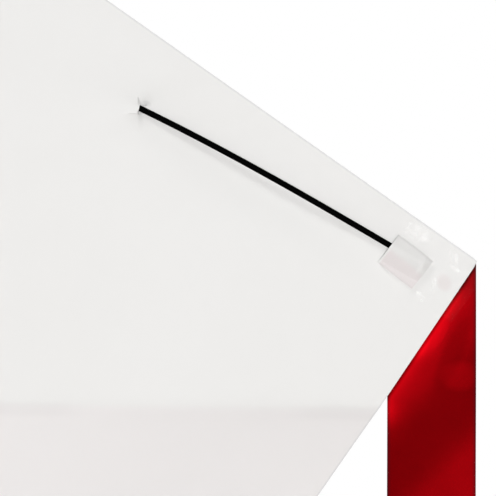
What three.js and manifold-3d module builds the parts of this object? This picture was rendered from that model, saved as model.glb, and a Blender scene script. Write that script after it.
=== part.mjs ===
// Diamond kite with a bowed cross spar, a straight spine, a film sail and three ribbon tails.
// Millimetres. Seen from the front, X runs to the right and Z up to the nose, and the sail faces -Y.
// While it is drawn, Z is 0 at the side corners and Y is 0 in the plane of the bow.
import * as THREE from 'three';
import Module from 'manifold-3d';

const wasm = await Module();
wasm.setup();

// Sail outline
const halfSpan = 300;
const noseRise = 211;
const tipDrop = 446;
const filmThickness = 0.4;

// Rods
const bowDiameter = 2;
const bowEndSlope = 30.5 * Math.PI / 180;
const bowEndBack = 15.6;
const bowEndInset = 11.8;
const spineDiameter = 2.4;
const spineNoseInset = 8;
const spineTipInset = 12;

// Free space between layers that lie on each other
const layerGap = 0.3;

// Slits that let the bow through the sail, and how the film weaves past it there
const slitPlace = 186.7;
const slitHalfLength = 3.5;
const slitHalfWidth = 0.6;
const slitMargin = 4;
const weaveSpreadShare = 1.5;
const weaveReach = 60;
const ridgeReach = 80;

// Slack film behind the bow, between the slit and the pocket
const slackDepth = 2;
const slackHeight = 20;
const slackEnd = 266;

// Fold across the sail and the flare of the lower panels behind it
const creaseDrop = 46.8;
const foldDepth = 1.2;
const foldWidth = 5;
const flareSlopeShare = 0.36;
const flareEndRise = 70;
const flareStart = 38;

// Pockets for the rod ends
const pocketLength = 14.5;
const pocketWidth = 11.4;
const pocketEdge = 0.5;
const pocketWall = 0.4;
const sidePocketBack = 3.7;
const sidePocketInset = 2.4;
const nosePocketInset = 5.5;
const tipPocketInset = 9.5;

// Clear tape: a rectangle folded over the leading edge at the side corners, a triangle at the nose and tip
const tapeThickness = 0.3;
const sideTapeLength = 26.2;
const sideTapeDepth = 22;
const sideTapeOverlap = 4.5;
const sideTapeMargin = 0.5;
const sideTapeFalloff = 1.4;
const sideTapeSlack = 1.5;
const endTapeReach = 24;
const endTapeMargin = 4;
const endTapeFalloff = 3;
const stripHeight = 16;
const stripReach = 20;
const stripShoulder = 2.5;
const tabTapeDrop = 4;
const tabTapeOverlap = 10;

// Ribbon tails
const ribbonWidth = 29.8;
const ribbonThickness = 0.5;
const ribbonEdgeInset = 0.6;
const ribbonTopDrop = 0.7;
const sideTailLength = 320;
const bottomTailLength = 420;
const hingeBelowTape = 2;
const bottomTabRise = 57;
const bottomTabDrop = 4;
const hingeGap = 0.6;
const waveDepth = 3.5;
const waveLength = 210;

// Cross joiner of the two rods
const joinerArm = 8;
const joinerWidth = 6.4;
const joinerBackWall = 1.4;
const joinerFrontWall = 1.0;
const joinerGrip = 0.9;
const joinerRound = 0.8;

// Bridle patches
const patchRadius = 8;
const patchThickness = 0.3;
const bridleHoleRadius = 1;
const bridleHoleSpread = 4;
const upperBridleAbove = 14;
const lowerBridleDrop = 215;

// Spine tapes, as heights from the side corners
const upperStripRise = 140;
const middleStripDrop = 120;
const lowerStripDrop = 290;

// Sides and steps of the round and curved pieces
const rodSides = 10;
const bowSteps = 56;
const bowHalfPoints = 24;
const holeSides = 8;
const pocketSteps = 10;
const pocketWidthSteps = 8;
const sideTapeSteps = 14;
const endTapeSteps = 9;
const tailSteps = 30;
const tailWidthSteps = 4;
const cutOverrun = 5;

const bowRadius = bowDiameter / 2;
const spineRadius = spineDiameter / 2;
const halfFilm = filmThickness / 2;
const spineDepth = -(bowRadius + layerGap + spineRadius);
const weaveDepth = bowRadius + layerGap + halfFilm;
const ridgeDepth = spineRadius + layerGap + halfFilm - spineDepth;
const edgeAngle = Math.atan2(noseRise, halfSpan);
const creaseHalf = halfSpan * (1 - creaseDrop / tipDrop);

// Places at the right side corner, as [X, Z] in the plane of the bow
const sideCorner = new THREE.Vector2(halfSpan, 0);
const alongLeading = new THREE.Vector2(Math.cos(edgeAngle), -Math.sin(edgeAngle));
const intoSail = new THREE.Vector2(alongLeading.y, -alongLeading.x);
const bowEndDirection = new THREE.Vector2(Math.cos(bowEndSlope), -Math.sin(bowEndSlope));
const bowEnd = sideCorner.clone()
  .addScaledVector(alongLeading, -bowEndBack)
  .addScaledVector(intoSail, bowEndInset);
const sidePocketCenter = bowEnd.clone()
  .addScaledVector(alongLeading, -sidePocketBack)
  .addScaledVector(intoSail, sidePocketInset);

// Colours of the finishes
const filmFinish = { color: 0xecebe9, roughness: 0.45, metalness: 0 };
const rodFinish = { color: 0x0b0b0b, roughness: 0.35, metalness: 0 };
const tapeFinish = { color: 0xf4f4f2, roughness: 0.15, metalness: 0 };
const ribbonFinish = { color: 0xa8060c, roughness: 0.3, metalness: 0 };
const joinerFinish = { color: 0xe2e2de, roughness: 0.5, metalness: 0 };

const clamp = (value) => Math.min(1, Math.max(-1, value));
const smooth = (value) => {
  const share = Math.min(1, Math.max(0, value));
  return share * share * (3 - 2 * share);
};

// Bow: a rod pinned at both ends and pushed together bends in proportion to its height over the line
// between the pins. It is stepped at unit scale from a pin to its level middle, then scaled to its span.
function bowPoints() {
  const stepShare = 0.002;
  const unitPoints = [new THREE.Vector2(0, 0)];
  let slope = bowEndSlope;
  let run = 0;
  let rise = 0;
  while (slope > 0) {
    const middleSlope = slope - rise * stepShare / 2;
    run += Math.cos(middleSlope) * stepShare;
    rise += Math.sin(middleSlope) * stepShare;
    slope -= rise * stepShare;
    unitPoints.push(new THREE.Vector2(run, rise));
  }
  const scale = bowEnd.x / run;
  const half = [];
  for (let i = 0; i <= bowHalfPoints; i += 1) {
    const point = unitPoints[Math.round((unitPoints.length - 1) * i / bowHalfPoints)];
    half.push(new THREE.Vector3(bowEnd.x - point.x * scale, 0, bowEnd.y + point.y * scale));
  }
  half[bowHalfPoints].x = 0;
  const otherHalf = half.slice(0, bowHalfPoints).reverse();
  return half.concat(otherHalf.map((point) => new THREE.Vector3(-point.x, point.y, point.z)));
}

const bowCurve = new THREE.CatmullRomCurve3(bowPoints());
const crossHeight = bowCurve.getPoint(0.5).z;

// Height of the bow over the side corners at a distance out from the spine
function bowHeight(side) {
  let low = 0;
  let high = 0.5;
  for (let i = 0; i < 30; i += 1) {
    const middle = (low + high) / 2;
    if (bowCurve.getPoint(middle).x > side) low = middle;
    else high = middle;
  }
  return bowCurve.getPoint(low).z;
}

const slitHeight = bowHeight(slitPlace);

// Depth of the film's middle surface. It runs in front of the bow up to the slit and slack behind it from
// there to the corner, stands forward over the spine, and falls back below the fold towards the edges.
function filmDepth(x, z) {
  const side = Math.abs(x);
  const past = Math.max(0, Math.abs(z - slitHeight) - slitHalfLength);
  const reach = Math.min(slitHalfWidth + past * weaveSpreadShare, weaveReach);
  let turn = Math.sin(clamp((side - slitPlace) / reach) * Math.PI / 2);
  if (Math.abs(side - slitPlace) <= slitHalfWidth * 1.01) {
    const lip = Math.sqrt(Math.max(0, 1 - ((z - slitHeight) / slitHalfLength) ** 2));
    if (past === 0) turn = Math.sign(side - slitPlace) * lip;
  }
  const ridge = (ridgeDepth - weaveDepth) * Math.max(0, 1 - side / ridgeReach);
  return turn * weaveDepth - ridge + slackBehindBow(side, z) + flareDepth(side, z);
}

function slackBehindBow(side, z) {
  const share = (side - slitPlace) / (slackEnd - slitPlace);
  if (share <= 0 || share >= 1) return 0;
  const nearBow = smooth(1 - Math.abs(z - bowHeight(side)) / slackHeight);
  return slackDepth * Math.sin(share * Math.PI) * nearBow;
}

function flareDepth(side, z) {
  const below = -creaseDrop - z;
  if (below <= 0) return 0;
  const fallShare = below / (tipDrop - creaseDrop - flareEndRise);
  const edge = halfSpan * (1 + z / tipDrop);
  const outward = edge > flareStart ? smooth((side - flareStart) / (edge - flareStart)) : 0;
  const fall = flareSlopeShare * below + foldDepth * smooth(below / foldWidth);
  return outward * fall * Math.max(0, 1 - fallShare) ** 2;
}

// Triangles over a grid of [x, z] points, with flat and skipped cells left out
function gridTriangles(columns, skip = () => false) {
  const triangles = [];
  const add = (a, b, c) => {
    const area = (b[0] - a[0]) * (c[1] - a[1]) - (c[0] - a[0]) * (b[1] - a[1]);
    if (Math.abs(area) < 1e-6) return;
    triangles.push(area > 0 ? [a, b, c] : [a, c, b]);
  };
  for (let i = 0; i + 1 < columns.length; i += 1) {
    for (let j = 0; j + 1 < columns[i].length; j += 1) {
      if (skip(i, j)) continue;
      const [a, b] = [columns[i][j], columns[i + 1][j]];
      const [c, d] = [columns[i + 1][j + 1], columns[i][j + 1]];
      add(a, b, c);
      add(a, c, d);
    }
  }
  return triangles;
}

// Closed sheet over triangles in the X-Z plane, between a front face and a back face
function sheetGeometry(triangles, frontDepth, backDepth) {
  const places = new Map();
  const front = [];
  const back = [];
  const indexOf = ([x, z]) => {
    const key = `${x.toFixed(4)} ${z.toFixed(4)}`;
    if (!places.has(key)) {
      places.set(key, front.length);
      front.push([x, frontDepth(x, z), z]);
      back.push([x, backDepth(x, z), z]);
    }
    return places.get(key);
  };
  const faces = triangles.map((triangle) => triangle.map(indexOf));
  const edges = new Set();
  for (const [a, b, c] of faces) {
    edges.add(`${a} ${b}`).add(`${b} ${c}`).add(`${c} ${a}`);
  }
  const shift = front.length;
  const index = [];
  for (const [a, b, c] of faces) {
    index.push(a, b, c, a + shift, c + shift, b + shift);
  }
  for (const edge of edges) {
    const [a, b] = edge.split(' ').map(Number);
    if (edges.has(`${b} ${a}`)) continue;
    index.push(b, a, a + shift, b, a + shift, b + shift);
  }
  const geometry = new THREE.BufferGeometry();
  geometry.setAttribute('position', new THREE.Float32BufferAttribute(front.concat(back).flat(), 3));
  geometry.setIndex(index);
  return geometry;
}

function toSolid(geometry) {
  const vertProperties = new Float32Array(geometry.attributes.position.array);
  const triVerts = new Uint32Array(geometry.index.array);
  const mesh = new wasm.Mesh({ numProp: 3, vertProperties, triVerts });
  mesh.merge();
  return new wasm.Manifold(mesh);
}

function fromSolid(solid) {
  const mesh = solid.getMesh();
  const geometry = new THREE.BufferGeometry();
  geometry.setAttribute('position', new THREE.BufferAttribute(mesh.vertProperties, 3));
  geometry.setIndex(new THREE.BufferAttribute(mesh.triVerts, 1));
  return geometry;
}

// Round cutter or rod between two points
function rodBetween(start, end, radius, sides) {
  const along = end.clone().sub(start);
  const geometry = new THREE.CylinderGeometry(radius, radius, along.length(), sides);
  const turn = new THREE.Quaternion().setFromUnitVectors(new THREE.Vector3(0, 1, 0), along.normalize());
  geometry.applyQuaternion(turn);
  const middle = start.clone().add(end).multiplyScalar(0.5);
  return plain(geometry.translate(middle.x, middle.y, middle.z));
}

// Same shape with nothing but shared positions, ready to be cut or joined
function plain(geometry) {
  geometry.deleteAttribute('normal');
  geometry.deleteAttribute('uv');
  return mergeByPlace(geometry);
}

function mergeByPlace(geometry) {
  const source = geometry.attributes.position;
  const places = new Map();
  const positions = [];
  const order = geometry.index ? [...geometry.index.array] : [...Array(source.count).keys()];
  const index = order.map((i) => {
    const point = [source.getX(i), source.getY(i), source.getZ(i)];
    const key = point.map((value) => (Math.round(value * 1e4) / 1e4 + 0).toFixed(4)).join(' ');
    if (!places.has(key)) {
      places.set(key, positions.length / 3);
      positions.push(...point);
    }
    return places.get(key);
  });
  const merged = new THREE.BufferGeometry();
  merged.setAttribute('position', new THREE.Float32BufferAttribute(positions, 3));
  merged.setIndex(index);
  return merged;
}

function mirrored(geometry) {
  const copy = geometry.clone().scale(-1, 1, 1);
  const index = copy.index.array;
  for (let i = 0; i < index.length; i += 3) {
    [index[i], index[i + 1]] = [index[i + 1], index[i]];
  }
  return copy;
}

// Sail: columns run out from the spine, rows from the fold up to the leading edge and down to the trailing
// edge. The rows at the slit go round its opening.
function sailGeometry() {
  const innerShares = [0, 0.2, 0.42, 0.63, 0.82];
  const outerShares = [0.26, 0.48, 0.7];
  const slitShares = [-1, -0.5, 0, 0.5, 1];
  const belowSlitShares = [0, 0.4, 0.65, 0.85];
  const aboveSlitShares = [0.45, 1];
  const lowerRowShares = [0, 0.02, 0.09, 0.2, 0.35, 0.52, 0.72, 1];

  const leading = (x) => noseRise * (1 - x / halfSpan);
  const trailing = (x) => -tipDrop * (1 - x / halfSpan);
  const foot = (x) => Math.max(-creaseDrop, trailing(x));
  const inner = innerShares.map((share) => share * slitPlace);
  const lips = [-slitMargin, -slitHalfWidth, slitHalfWidth, slitMargin].map((reach) => slitPlace + reach);
  const outer = outerShares.map((share) => slitPlace + share * (halfSpan - slitPlace));
  const lowerColumns = [...inner, ...lips, ...outer.filter((x) => x < creaseHalf), creaseHalf];
  const upperColumns = [...lowerColumns, (creaseHalf + halfSpan) / 2, halfSpan];

  const footAtSlit = foot(slitPlace);
  const slitRowShares = slitShares.map((share) => (
    (slitHeight + share * slitHalfLength - footAtSlit) / (leading(slitPlace) - footAtSlit)
  ));
  const [slitLow, slitHigh] = [slitRowShares[0], slitRowShares[slitShares.length - 1]];
  const upperRowShares = [
    ...belowSlitShares.map((share) => share * slitLow),
    ...slitRowShares,
    ...aboveSlitShares.map((share) => slitHigh + share * (1 - slitHigh)),
  ];
  const upper = upperColumns.map((x) => upperRowShares.map((share) => (
    [x, foot(x) + share * (leading(x) - foot(x))]
  )));
  const lower = lowerColumns.map((x) => lowerRowShares.map((share) => (
    [x, -creaseDrop + share * (trailing(x) + creaseDrop)]
  )));
  const slitColumn = inner.length + 1;
  const slitRow = belowSlitShares.length;
  const inSlit = (i, j) => i === slitColumn && j >= slitRow && j < slitRow + slitShares.length - 1;
  const right = [...gridTriangles(upper, inSlit), ...gridTriangles(lower)];
  const left = right.map(([a, b, c]) => [a, c, b].map(([x, z]) => [-x, z]));
  const sheet = sheetGeometry(
    [...right, ...left],
    (x, z) => filmDepth(x, z) - halfFilm,
    (x, z) => filmDepth(x, z) + halfFilm,
  );
  let sail = toSolid(sheet);
  for (const height of [crossHeight + upperBridleAbove, -lowerBridleDrop]) {
    for (const side of [-1, 1]) {
      const start = new THREE.Vector3(side * bridleHoleSpread, -ridgeDepth - cutOverrun, height);
      const end = new THREE.Vector3(side * bridleHoleSpread, -ridgeDepth + cutOverrun, height);
      sail = sail.subtract(toSolid(rodBetween(start, end, bridleHoleRadius, holeSides)));
    }
  }
  return fromSolid(sail);
}

function bowGeometry() {
  const section = new THREE.Shape();
  section.absarc(0, 0, bowRadius, 0, Math.PI * 2, false);
  return new THREE.ExtrudeGeometry(section, {
    steps: bowSteps, curveSegments: rodSides / 2, extrudePath: bowCurve, bevelEnabled: false,
  });
}

function spineGeometry() {
  const start = new THREE.Vector3(0, spineDepth, spineTipInset - tipDrop);
  const end = new THREE.Vector3(0, spineDepth, noseRise - spineNoseInset);
  return rodBetween(start, end, spineRadius, rodSides);
}

// Cross joiner: a level barrel round the bow and an upright clip that snaps on to the spine from behind
function joinerGeometry() {
  const back = bowRadius + layerGap + joinerBackWall;
  const barrelFront = -(bowRadius + layerGap + joinerFrontWall);
  const clipFront = spineDepth - joinerGrip;
  const level = roundedBar(joinerArm, barrelFront, back).rotateY(Math.PI / 2);
  const upright = roundedBar(joinerArm, clipFront, back);
  const cross = [level, upright].map((bar) => toSolid(plain(bar.translate(0, 0, crossHeight))));
  const reach = joinerArm + cutOverrun;
  const bowBore = rodBetween(
    new THREE.Vector3(-reach, 0, crossHeight),
    new THREE.Vector3(reach, 0, crossHeight),
    bowRadius + layerGap,
    rodSides * 2,
  );
  const spineBore = rodBetween(
    new THREE.Vector3(0, spineDepth, crossHeight - reach),
    new THREE.Vector3(0, spineDepth, crossHeight + reach),
    spineRadius + layerGap,
    rodSides * 2,
  );
  return fromSolid(cross[0].add(cross[1]).subtract(toSolid(bowBore)).subtract(toSolid(spineBore)));
}

// Upright bar with rounded corners in plan, from one depth to another
function roundedBar(arm, front, back) {
  const wide = joinerWidth / 2;
  const outline = new THREE.Shape();
  outline.moveTo(-wide + joinerRound, front);
  outline.lineTo(wide - joinerRound, front);
  outline.quadraticCurveTo(wide, front, wide, front + joinerRound);
  outline.lineTo(wide, back - joinerRound);
  outline.quadraticCurveTo(wide, back, wide - joinerRound, back);
  outline.lineTo(-wide + joinerRound, back);
  outline.quadraticCurveTo(-wide, back, -wide, back - joinerRound);
  outline.lineTo(-wide, front + joinerRound);
  outline.quadraticCurveTo(-wide, front, -wide + joinerRound, front);
  const bar = new THREE.ExtrudeGeometry(outline, { depth: arm * 2, curveSegments: 3, bevelEnabled: false });
  return bar.translate(0, 0, -arm);
}

// Grid over a rectangle in the X-Z plane, turned so that its length runs along a direction
function rectanglePlan(center, direction, length, width, lengthSteps, widthSteps) {
  const columns = [];
  const across = new THREE.Vector2(-direction.y, direction.x);
  for (let i = 0; i <= lengthSteps; i += 1) {
    const column = [];
    for (let j = 0; j <= widthSteps; j += 1) {
      const point = center.clone();
      point.addScaledVector(direction, (i / lengthSteps - 0.5) * length);
      point.addScaledVector(across, (j / widthSteps - 0.5) * width);
      column.push([point.x, point.y]);
    }
    columns.push(column);
  }
  return gridTriangles(columns);
}

// How far a point lies along a line and away from it
function alongAndAcross(x, z, origin, direction) {
  const offset = new THREE.Vector2(x, z).sub(origin);
  return [offset.dot(direction), Math.abs(offset.cross(direction))];
}

// Pocket: a patch welded to the sail on three sides, humped over the rod end that it holds. What lies over
// the pocket follows the same hump, wider and longer by its slack.
function pocketHump(x, z, rodEnd, rodDirection, slack = 0) {
  const [along, across] = alongAndAcross(x, z, rodEnd, rodDirection);
  const overRod = Math.cos(Math.min(1, across / (pocketWidth / 2 + slack)) * Math.PI / 2) ** 2;
  const closed = layerGap + pocketWall + slack;
  return overRod * (1 - smooth((along - closed) / (pocketLength / 8 + slack * 2)));
}

const noseCorner = new THREE.Vector2(0, noseRise);
const tipCorner = new THREE.Vector2(0, -tipDrop);
const pocketCrown = bowRadius + layerGap + pocketWall;
const spinePocketCrown = spineDepth + spineRadius + layerGap + pocketWall;
const cornerFront = weaveDepth - halfFilm;
const cornerBack = weaveDepth + halfFilm;

function sidePocketGeometry() {
  const plan = rectanglePlan(
    sidePocketCenter, alongLeading, pocketLength, pocketWidth, pocketSteps, pocketWidthSteps,
  );
  const back = cornerFront - layerGap;
  const front = (x, z) => {
    const hump = pocketHump(x, z, bowEnd, bowEndDirection);
    return (back - pocketEdge) * (1 - hump) - pocketCrown * hump;
  };
  const start = bowEnd.clone().addScaledVector(bowEndDirection, -pocketLength - cutOverrun);
  const end = bowEnd.clone().addScaledVector(bowEndDirection, layerGap);
  const channel = rodBetween(
    new THREE.Vector3(start.x, 0, start.y),
    new THREE.Vector3(end.x, 0, end.y),
    bowRadius + layerGap,
    rodSides * 2,
  );
  return fromSolid(toSolid(sheetGeometry(plan, front, () => back)).subtract(toSolid(channel)));
}

// Pocket behind the sail at one end of the spine; up is 1 at the nose and -1 at the tip
function spinePocketGeometry(corner, up, inset, rodInset) {
  const direction = new THREE.Vector2(0, up);
  const center = corner.clone().addScaledVector(direction, -inset - pocketLength / 2);
  const rodEnd = corner.clone().addScaledVector(direction, -rodInset);
  const plan = rectanglePlan(center, direction, pocketLength, pocketWidth, pocketSteps, pocketWidthSteps);
  const front = (x, z) => filmDepth(x, z) + halfFilm + layerGap;
  const back = (x, z) => {
    const hump = pocketHump(x, z, rodEnd, direction);
    return (front(x, z) + pocketEdge) * (1 - hump) + spinePocketCrown * hump;
  };
  const channel = rodBetween(
    new THREE.Vector3(0, spineDepth, rodEnd.y + up * layerGap),
    new THREE.Vector3(0, spineDepth, rodEnd.y - up * (pocketLength + cutOverrun)),
    spineRadius + layerGap,
    rodSides * 2,
  );
  return fromSolid(toSolid(sheetGeometry(plan, front, back)).subtract(toSolid(channel)));
}

// Triangle that the tape at the nose or tip covers: two lines along the sail's edges, moved outwards, and one
// across
function trianglePlan(corner, edgeA, edgeB, outwards, inwards) {
  const bisector = edgeA.clone().add(edgeB).normalize();
  const outwardOf = (edge, other) => {
    const normal = new THREE.Vector2(-edge.y, edge.x);
    return normal.dot(other) > 0 ? normal.negate() : normal;
  };
  const lines = [
    { point: corner.clone().addScaledVector(outwardOf(edgeA, edgeB), outwards), direction: edgeA },
    { point: corner.clone().addScaledVector(outwardOf(edgeB, edgeA), outwards), direction: edgeB },
    {
      point: corner.clone().addScaledVector(bisector, endTapeReach + inwards),
      direction: new THREE.Vector2(-bisector.y, bisector.x),
    },
  ];
  const meet = (one, two) => {
    const share = two.point.clone().sub(one.point).cross(two.direction) / one.direction.cross(two.direction);
    return one.point.clone().addScaledVector(one.direction, share);
  };
  const apex = meet(lines[0], lines[1]);
  const endA = meet(lines[0], lines[2]);
  const endB = meet(lines[1], lines[2]);
  const columns = [];
  for (let i = 0; i <= endTapeSteps; i += 1) {
    const column = [];
    const start = apex.clone().lerp(endA, i / endTapeSteps);
    const end = apex.clone().lerp(endB, i / endTapeSteps);
    for (let j = 0; j <= endTapeSteps; j += 1) {
      const point = start.clone().lerp(end, j / endTapeSteps);
      column.push([point.x, point.y]);
    }
    columns.push(column);
  }
  return gridTriangles(columns);
}

// Rectangle at the right side corner: from one distance back along the leading edge to another, and from one
// distance into the sail to another
function cornerRectangle(start, end, out, depth) {
  const center = sideCorner.clone()
    .addScaledVector(alongLeading, -(start + end) / 2)
    .addScaledVector(intoSail, (out + depth) / 2);
  return rectanglePlan(center, alongLeading, end - start, depth - out, sideTapeSteps, sideTapeSteps);
}

// 1 over a pocket and a margin round it, 0 well away from it
function overPocket(x, z, center, direction, margin, falloff) {
  const [along, across] = alongAndAcross(x, z, center, direction);
  const beyond = Math.hypot(
    Math.max(0, Math.abs(along) - pocketLength / 2),
    Math.max(0, across - pocketWidth / 2),
  );
  return 1 - smooth((beyond - margin) / falloff);
}

// Tape folded round an edge: an outer shell with the space for the film, pocket and ribbon taken out
function foldedTape(outerPlan, innerPlan, front, back) {
  const outer = toSolid(sheetGeometry(
    outerPlan,
    (x, z) => front(x, z) - tapeThickness,
    (x, z) => back(x, z) + tapeThickness,
  ));
  return fromSolid(outer.subtract(toSolid(sheetGeometry(innerPlan, front, back))));
}

const ribbonFront = cornerBack + layerGap;
const ribbonMiddle = ribbonFront + ribbonThickness / 2;
const ribbonBack = ribbonFront + ribbonThickness;

// The side tape has one fold, along the leading edge. Past the trailing edge its two leaves run on over the
// ribbon.
const tapeWall = layerGap + tapeThickness;
const sideTapePlan = cornerRectangle(-sideTapeOverlap, sideTapeLength, -tapeWall, sideTapeDepth);
const sideHingeDrop = hingeBelowTape - Math.min(...sideTapePlan.flat().map(([, z]) => z));

function sideTapeGeometry() {
  const innerPlan = cornerRectangle(
    -sideTapeOverlap - cutOverrun,
    sideTapeLength + cutOverrun,
    -layerGap,
    sideTapeDepth + cutOverrun,
  );
  const front = (x, z) => {
    const raised = overPocket(x, z, sidePocketCenter, alongLeading, sideTapeMargin, sideTapeFalloff);
    const hump = pocketHump(x, z, bowEnd, bowEndDirection, sideTapeSlack);
    const level = cornerFront - layerGap - (pocketEdge + layerGap) * raised;
    return level * (1 - hump) - (pocketCrown + layerGap) * hump;
  };
  return foldedTape(sideTapePlan, innerPlan, front, () => ribbonBack + layerGap);
}

const spineTapeBack = spinePocketCrown + layerGap;

function endTapeGeometry(corner, up, inset) {
  const edgeRise = up > 0 ? noseRise : tipDrop;
  const edgeA = new THREE.Vector2(halfSpan, -up * edgeRise).normalize();
  const edgeB = new THREE.Vector2(-halfSpan, -up * edgeRise).normalize();
  const direction = new THREE.Vector2(0, up);
  const center = corner.clone().addScaledVector(direction, -inset - pocketLength / 2);
  const front = (x, z) => filmDepth(x, z) - halfFilm - layerGap;
  const back = (x, z) => {
    const over = overPocket(x, z, center, direction, endTapeMargin, endTapeFalloff);
    return (filmDepth(x, z) + halfFilm + layerGap) * (1 - over) + spineTapeBack * over;
  };
  const outerPlan = trianglePlan(corner, edgeA, edgeB, tapeWall, 0);
  const innerPlan = trianglePlan(corner, edgeA, edgeB, layerGap, cutOverrun);
  return foldedTape(outerPlan, innerPlan, front, back);
}

// Strip of tape across the sail's back, humped over what it holds
function stripGeometry(height, reach, humpHalf, humpDepth) {
  const shoulder = humpHalf + stripShoulder;
  const places = [-reach, -shoulder, -humpHalf, 0, humpHalf, shoulder, reach];
  const columns = places.map((x) => [0, 0.5, 1].map((share) => [x, height + (share - 0.5) * stripHeight]));
  const front = (x, z) => {
    if (Math.abs(x) <= humpHalf + layerGap) return humpDepth;
    return filmDepth(x, z) + halfFilm + layerGap;
  };
  return sheetGeometry(gridTriangles(columns), front, (x, z) => front(x, z) + tapeThickness);
}

// Part of a side tail that stays under the corner tape, cut off square just under the corner's level
const ribbonRight = halfSpan - ribbonEdgeInset;
const ribbonLeft = ribbonRight - ribbonWidth;

function sideTabGeometry() {
  const length = sideHingeDrop - ribbonTopDrop;
  const middle = new THREE.Vector2((ribbonLeft + ribbonRight) / 2, -(sideHingeDrop + ribbonTopDrop) / 2);
  const plan = rectanglePlan(middle, new THREE.Vector2(1, 0), ribbonWidth, length, tailWidthSteps, 2);
  return sheetGeometry(plan, () => ribbonFront, () => ribbonBack);
}

// Free length of a tail: flat at its hinge, then in slow waves whose crests lie aslant
function tailGeometry(center, top, length, middle) {
  const plan = rectanglePlan(
    new THREE.Vector2(center, top - length / 2),
    new THREE.Vector2(1, 0),
    ribbonWidth,
    length,
    tailWidthSteps,
    tailSteps,
  );
  const depth = (x, z) => {
    const fallen = top - z;
    const grown = smooth(fallen / (waveLength / 2));
    return middle + waveDepth * grown * Math.sin((fallen + (x - center)) * 2 * Math.PI / waveLength);
  };
  return sheetGeometry(
    plan,
    (x, z) => depth(x, z) - ribbonThickness / 2,
    (x, z) => depth(x, z) + ribbonThickness / 2,
  );
}

const bottomRibbonFront = spineTapeBack + tapeThickness + layerGap;

function bottomTabGeometry() {
  const middle = new THREE.Vector2(0, -tipDrop + (bottomTabRise - bottomTabDrop) / 2);
  const length = bottomTabRise + bottomTabDrop;
  const plan = rectanglePlan(middle, new THREE.Vector2(1, 0), ribbonWidth, length, 2, 2);
  return sheetGeometry(plan, () => bottomRibbonFront, () => bottomRibbonFront + ribbonThickness);
}

// Reinforcing disc on the sail's front with a pair of holes for the bridle line
function bridlePatchGeometry() {
  const disc = new THREE.Shape();
  disc.absarc(0, 0, patchRadius, 0, Math.PI * 2, false);
  for (const side of [-1, 1]) {
    const hole = new THREE.Path();
    hole.absarc(side * bridleHoleSpread, 0, bridleHoleRadius, 0, Math.PI * 2, true);
    disc.holes.push(hole);
  }
  return new THREE.ExtrudeGeometry(disc, {
    depth: patchThickness, curveSegments: holeSides, bevelEnabled: false,
  });
}

function named(name, geometry, finish) {
  const material = new THREE.MeshStandardMaterial({ ...finish, side: THREE.DoubleSide });
  const mesh = new THREE.Mesh(geometry, material);
  mesh.name = name;
  return mesh;
}

function bridlePatch(name, height) {
  const patch = named(name, bridlePatchGeometry(), tapeFinish);
  patch.rotation.x = Math.PI / 2;
  patch.position.set(0, -ridgeDepth - halfFilm - layerGap, height);
  return patch;
}

const kite = new THREE.Group();
kite.add(named('sail', sailGeometry(), filmFinish));
kite.add(named('bow_spar', bowGeometry(), rodFinish));
kite.add(named('spine_spar', spineGeometry(), rodFinish));
kite.add(named('cross_joiner', joinerGeometry(), joinerFinish));

const sidePocket = sidePocketGeometry();
kite.add(named('right_pocket', sidePocket, filmFinish));
kite.add(named('left_pocket', mirrored(sidePocket), filmFinish));
const nosePocket = spinePocketGeometry(noseCorner, 1, nosePocketInset, spineNoseInset);
const bottomPocket = spinePocketGeometry(tipCorner, -1, tipPocketInset, spineTipInset);
kite.add(named('nose_pocket', nosePocket, filmFinish));
kite.add(named('bottom_pocket', bottomPocket, filmFinish));

const sideTape = sideTapeGeometry();
kite.add(named('right_corner_tape', sideTape, tapeFinish));
kite.add(named('left_corner_tape', mirrored(sideTape), tapeFinish));
kite.add(named('nose_tape', endTapeGeometry(noseCorner, 1, nosePocketInset), tapeFinish));
kite.add(named('bottom_tape', endTapeGeometry(tipCorner, -1, tipPocketInset), tapeFinish));

const overSpine = spineDepth + spineRadius + layerGap;
const strips = {
  spine_tape_upper: upperStripRise,
  spine_tape_middle: -middleStripDrop,
  spine_tape_lower: -lowerStripDrop,
};
for (const [name, height] of Object.entries(strips)) {
  kite.add(named(name, stripGeometry(height, stripReach, spineRadius, overSpine), tapeFinish));
}

const tabTapeHeight = bottomTabRise - tabTapeDrop - tipDrop;
const tabTapeDepth = bottomRibbonFront + ribbonThickness + layerGap;
const tabTapeReach = ribbonWidth / 2 + tabTapeOverlap;
kite.add(named(
  'bottom_tail_tape',
  stripGeometry(tabTapeHeight, tabTapeReach, ribbonWidth / 2 + layerGap, tabTapeDepth),
  tapeFinish,
));

kite.add(bridlePatch('bridle_patch_upper', crossHeight + upperBridleAbove));
kite.add(bridlePatch('bridle_patch_lower', -lowerBridleDrop));

const sideTab = sideTabGeometry();
kite.add(named('right_tail_end', sideTab, ribbonFinish));
kite.add(named('left_tail_end', mirrored(sideTab), ribbonFinish));
kite.add(named('bottom_tail_end', bottomTabGeometry(), ribbonFinish));

const sideTail = tailGeometry(
  ribbonRight - ribbonWidth / 2,
  -sideHingeDrop - hingeGap,
  sideTailLength,
  ribbonMiddle,
);
kite.add(named('right_tail', sideTail, ribbonFinish));
kite.add(named('left_tail', mirrored(sideTail), ribbonFinish));
const bottomTail = tailGeometry(
  0,
  -tipDrop - bottomTabDrop - hingeGap,
  bottomTailLength,
  bottomRibbonFront + ribbonThickness / 2,
);
kite.add(named('bottom_tail', bottomTail, ribbonFinish));

// The part's origin is the middle of the joiner's flat back
kite.position.set(0, -(bowRadius + layerGap + joinerBackWall), -crossHeight);

export default kite;
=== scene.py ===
# %% [markdown]
# # A diamond kite, dressed for its picture
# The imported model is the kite's fixed frame: every solid at its real place and size. This lesson gives it
# its looks. Each piece, such as the film, a rod or a ribbon, is modelled again with more detail, and stands
# for the CAD solid in whose space it lies.

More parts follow.
